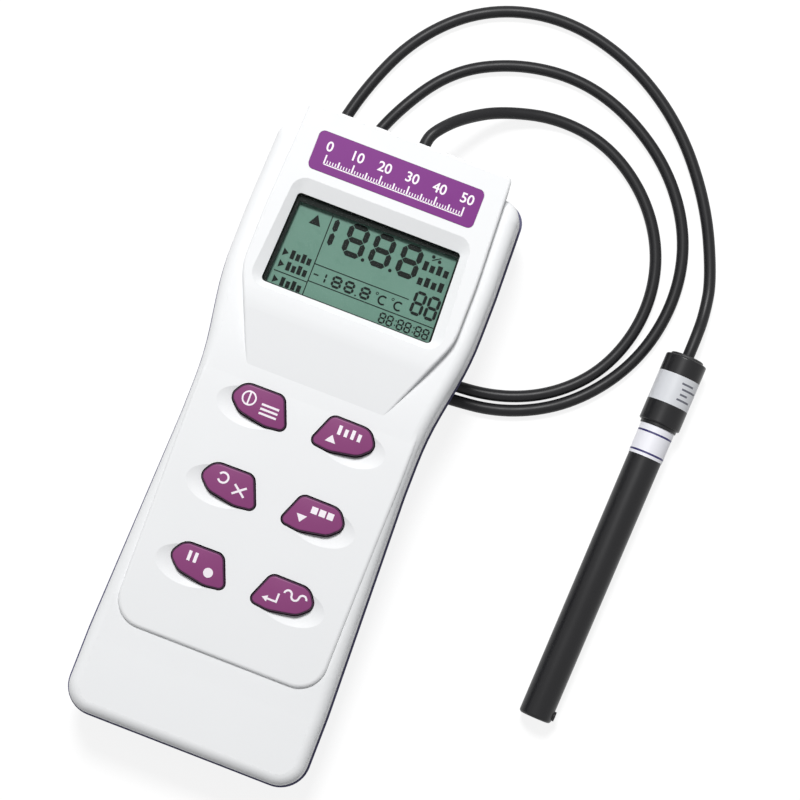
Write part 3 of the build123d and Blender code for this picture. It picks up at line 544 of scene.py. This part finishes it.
def enter_sign(art, x, y):
    art.bar((x - 1.4, y - 1.9), (x - 1.4, y + 0.5), 0.55)
    art.bar((x - 1.15, y - 1.9), (x - 4.4, y - 1.9), 0.55)
    art.polygon([(x - 5.6, y - 1.9), (x - 4.0, y - 1.0), (x - 4.0, y - 2.8)])
    for i in range(3):
        art.circle((x + 0.9 + 2.1 * i, y + 1.2), 1.05, 0.55, start=180 * (i % 2), sweep=180, count=10)


KEY_SIGNS = {"power": power_sign, "up": up_sign, "escape": escape_sign,
             "down": down_sign, "hold": hold_sign, "enter": enter_sign}


def dress_keys():
    for name, sign in KEY_SIGNS.items():
        node = "key_" + name
        low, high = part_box(node)
        art = Outline()
        sign(art, (low[0] + high[0]) / 2 / MM, (low[1] + high[1]) / 2 / MM)
        art.build(node + "_sign", key_surface(node), KEY_PRINT_T, PRINT, node)


# Probe: rings and print that follow the rod, placed along its own axis

PROBE_TOP = (93.1, 62.9, 6.314)
PROBE_TIP = (88.726, -46.0, 4.706)


def probe_place():
    """Matrix whose Z runs from the cap's top to the tip, and whose X points up."""
    top, tip = Vector(PROBE_TOP) * MM, Vector(PROBE_TIP) * MM
    along = (tip - top).normalized()
    side = along.cross(Vector((0, 0, 1))).normalized()
    up = side.cross(along).normalized()
    place = Matrix((up, side, along)).transposed().to_4x4()
    place.translation = top
    return place


def rod_patch(name, start, end, radius, turn_from, turn_to, thickness, material, count=48):
    """Thin curved plate on the rod, from start to end along it and between two turns in degrees."""
    place = probe_place()
    verts, faces = [], []
    for i in range(count + 1):
        angle = math.radians(turn_from + (turn_to - turn_from) * i / count)
        for r, along in ((radius - PRINT_ROOT, start), (radius + thickness, start),
                         (radius + thickness, end), (radius - PRINT_ROOT, end)):
            point = Vector((r * math.cos(angle), r * math.sin(angle), along)) * MM
            verts.append(place @ point)
    for i in range(count):
        a, b = 4 * i, 4 * (i + 1)
        faces += [[a + k, a + (k + 1) % 4, b + (k + 1) % 4, b + k] for k in range(4)]
    if turn_to - turn_from < 360:
        faces += [[0, 3, 2, 1], [4 * count + k for k in range(4)]]
    add_piece(name, verts, faces, material)


CAP_L = 20.0
CAP_R = 6.0
CAP_SKIRT_L = 1.0
SHAFT_R = 4.85
BAND_T = 0.15
BAND_LINE_PLACES = (1.8, 7.6)
BAND_LINE_T = 0.02
CAP_PRINT_START = 6.9
CAP_PRINT_PITCH = 1.55
CAP_PRINT_TURNS = ((38, -10), (52, -16), (24, -16), (44, -12))
CAP_PRINT_T = 0.015
PRINT_LINE_W = 0.55


def dress_probe():
    """Two lines round the white band, and plain bars on the cap's label: each a length and a turn."""
    band_start = CAP_L + CAP_SKIRT_L
    for i, place in enumerate(BAND_LINE_PLACES):
        start = band_start + place
        rod_patch("band_line_%d" % i, start, start + PRINT_LINE_W, SHAFT_R + BAND_T, 0, 360, BAND_LINE_T,
                  NAVY_INK, 64)
    for i, (length, turn) in enumerate(CAP_PRINT_TURNS):
        start = CAP_PRINT_START + CAP_PRINT_PITCH * i
        rod_patch("cap_print_%d" % i, start, start + PRINT_LINE_W, CAP_R, turn - length, turn, CAP_PRINT_T,
                  GREY_INK)


# Cable, on the corners of its route

CABLE_R = 1.7
TABLE_Z = CABLE_R + 0.05
CABLE_ROUTE = [
    (3.0, 91.2, 17.0), (3.0, 93.8, 17.0), (5.1, 97.5, 16.3), (9.8, 103.2, 12.8), (19.0, 110.4, 5.4),
    (35.0, 115.2, TABLE_Z), (51.5, 112.8, TABLE_Z), (66.5, 102.5, TABLE_Z), (76.0, 87.5, TABLE_Z),
    (78.2, 70.0, TABLE_Z), (73.0, 53.0, TABLE_Z), (62.0, 41.0, TABLE_Z), (47.5, 34.2, TABLE_Z),
    (31.0, 32.6, TABLE_Z), (14.5, 34.0, TABLE_Z), (-0.5, 40.0, TABLE_Z), (-11.5, 52.0, TABLE_Z),
    (-16.0, 67.0, TABLE_Z), (-14.8, 82.5, TABLE_Z), (-9.5, 99.5, TABLE_Z), (1.5, 116.8, TABLE_Z),
    (18.0, 125.6, TABLE_Z), (36.5, 128.0, TABLE_Z), (54.0, 123.0, TABLE_Z), (70.5, 111.5, TABLE_Z),
    (81.5, 95.0, TABLE_Z), (84.6, 76.0, TABLE_Z), (80.0, 56.5, TABLE_Z), (67.5, 40.0, TABLE_Z),
    (50.5, 30.6, TABLE_Z), (32.0, 28.6, TABLE_Z), (14.0, 28.4, TABLE_Z), (-4.0, 34.0, TABLE_Z),
    (-17.5, 46.0, TABLE_Z), (-24.0, 62.0, TABLE_Z), (-24.0, 80.0, TABLE_Z), (-20.5, 101.0, TABLE_Z),
    (-11.5, 122.5, TABLE_Z), (4.5, 137.5, TABLE_Z), (26.0, 143.0, TABLE_Z), (48.5, 138.0, TABLE_Z),
    (68.0, 125.5, TABLE_Z), (83.0, 107.0, TABLE_Z), (91.9, 87.5, TABLE_Z), (93.5, 77.0, 3.3),
    (93.353, 69.194, 6.407), (93.132, 63.699, 6.326),
]


def make_cable():
    curve = bpy.data.curves.new("cable_run", "CURVE")
    curve.dimensions = "3D"
    curve.bevel_depth = CABLE_R * MM
    curve.bevel_resolution = 6
    curve.use_fill_caps = True
    curve.resolution_u = 10
    spline = curve.splines.new("NURBS")
    spline.points.add(len(CABLE_ROUTE) - 1)
    for point, place in zip(spline.points, CABLE_ROUTE):
        point.co = (*(Vector(place) * MM), 1.0)
    spline.order_u = 3
    spline.use_endpoint_u = True
    curve.materials.append(MATERIALS["cable_jacket"])
    cable = bpy.data.objects.new("cable_run", curve)
    bpy.context.scene.collection.objects.link(cable)
    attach(cable, METER)
    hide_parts("probe_cable")


# Studio: pale floor, one soft lamp high above the display end, and the photograph's viewpoint.
# Its distances and the lamp's places are in metres, and CAMERA_TARGET is in millimetres.

CAMERA_DISTANCE = 0.700
CAMERA_TARGET = (22.475, 21.707, 30.0)
CAMERA_LEAN = 4.0
CAMERA_SIDE = 1.5
CAMERA_ROLL = 21.104
CAMERA_LENS = 115.857


def make_camera():
    lean, side, roll = (math.radians(a) for a in (CAMERA_LEAN, CAMERA_SIDE, CAMERA_ROLL))
    back = Vector((math.sin(side), -math.sin(lean) * math.cos(side), math.cos(lean) * math.cos(side)))
    level_up = Vector((0, 1, 0))
    level_up = (level_up - back * level_up.dot(back)).normalized()
    level_right = level_up.cross(back)
    up = math.cos(roll) * level_up - math.sin(roll) * level_right
    right = math.cos(roll) * level_right + math.sin(roll) * level_up
    place = Matrix((right, up, back)).transposed().to_4x4()
    place.translation = Vector(CAMERA_TARGET) * MM + back * CAMERA_DISTANCE
    data = bpy.data.cameras.new("photo_camera")
    data.lens = CAMERA_LENS
    data.sensor_width = 36.0
    data.clip_start = 0.01
    camera = bpy.data.objects.new("photo_camera", data)
    camera.matrix_world = place
    bpy.context.scene.collection.objects.link(camera)
    bpy.context.scene.camera = camera


LAMP_FROM = (-0.20, 0.46, 0.86)
LAMP_TARGET = (0.02, 0.02, 0.02)
LAMP_DISTANCE = 1.25
LAMP_SIZE = 0.36
LAMP_POWER = 14.8
AMBIENT = 0.21
AMBIENT_COLOR = (0.97, 0.98, 1.0, 1)
FLOOR_GLOW = 0.86
FLOOR_COLOR = 0.20
FLOOR_BOUNCE = 0.80
FLOOR_HALF = 2.0


def seen_ray(mat):
    """1 for rays from the camera, mirrors and glass, 0 for the rays that light the object."""
    path = add_node(mat, "ShaderNodeLightPath")
    first = add_node(mat, "ShaderNodeMath", operation="MAXIMUM")
    both = add_node(mat, "ShaderNodeMath", operation="MAXIMUM")
    link(mat, path, "Is Camera Ray", first, 0)
    link(mat, path, "Is Glossy Ray", first, 1)
    link(mat, first, 0, both, 0)
    link(mat, path, "Is Transmission Ray", both, 1)
    return both


def grey(value):
    return (value, value, value, 1)


def make_floor():
    """Floor that glows for the camera, and lights the object as plain pale paper."""
    half = FLOOR_HALF
    mesh = bpy.data.meshes.new("floor")
    mesh.from_pydata([(-half, -half, 0), (half, -half, 0), (half, half, 0), (-half, half, 0)], [],
                     [[0, 1, 2, 3]])
    floor = bpy.data.objects.new("floor", mesh)
    bpy.context.scene.collection.objects.link(floor)
    mat = bpy.data.materials.new("floor_paper")
    mat.use_nodes = True
    nodes = mat.node_tree.nodes
    nodes.clear()
    out = add_node(mat, "ShaderNodeOutputMaterial")
    lit = add_node(mat, "ShaderNodeBsdfDiffuse", Color=grey(FLOOR_BOUNCE))
    shown = add_node(mat, "ShaderNodeBsdfDiffuse", Color=grey(FLOOR_COLOR))
    glow = add_node(mat, "ShaderNodeEmission", Color=grey(1), Strength=FLOOR_GLOW)
    both = add_node(mat, "ShaderNodeAddShader")
    choose = add_node(mat, "ShaderNodeMixShader")
    link(mat, shown, 0, both, 0)
    link(mat, glow, 0, both, 1)
    link(mat, seen_ray(mat), 0, choose, 0)
    link(mat, lit, 0, choose, 1)
    link(mat, both, 0, choose, 2)
    link(mat, choose, 0, out, "Surface")
    mesh.materials.append(mat)


def make_lamp():
    direction = Vector(LAMP_FROM).normalized()
    data = bpy.data.lights.new("key_lamp", "AREA")
    data.shape = "DISK"
    data.size = LAMP_SIZE
    data.energy = LAMP_POWER
    lamp = bpy.data.objects.new("key_lamp", data)
    lamp.location = Vector(LAMP_TARGET) + direction * LAMP_DISTANCE
    lamp.rotation_euler = direction.to_track_quat("Z", "Y").to_euler()
    bpy.context.scene.collection.objects.link(lamp)


def make_world():
    """Faint cool light from all round, which camera and gloss see as white."""
    world = bpy.data.worlds.new("studio")
    bpy.context.scene.world = world
    world.use_nodes = True
    nodes = world.node_tree.nodes
    nodes.clear()
    out = add_node(world, "ShaderNodeOutputWorld")
    ambient = add_node(world, "ShaderNodeBackground", Color=AMBIENT_COLOR, Strength=AMBIENT)
    white = add_node(world, "ShaderNodeBackground", Color=grey(1), Strength=1.0)
    choose = add_node(world, "ShaderNodeMixShader")
    link(world, seen_ray(world), 0, choose, 0)
    link(world, ambient, 0, choose, 1)
    link(world, white, 0, choose, 2)
    link(world, choose, 0, out, "Surface")


bpy.context.scene.view_settings.view_transform = "Standard"
make_camera()
make_floor()
make_lamp()
make_world()
dress_nodes()
make_cable()
dress_label()
dress_display()
dress_window()
dress_keys()
dress_probe()

bpy.context.view_layer.update()
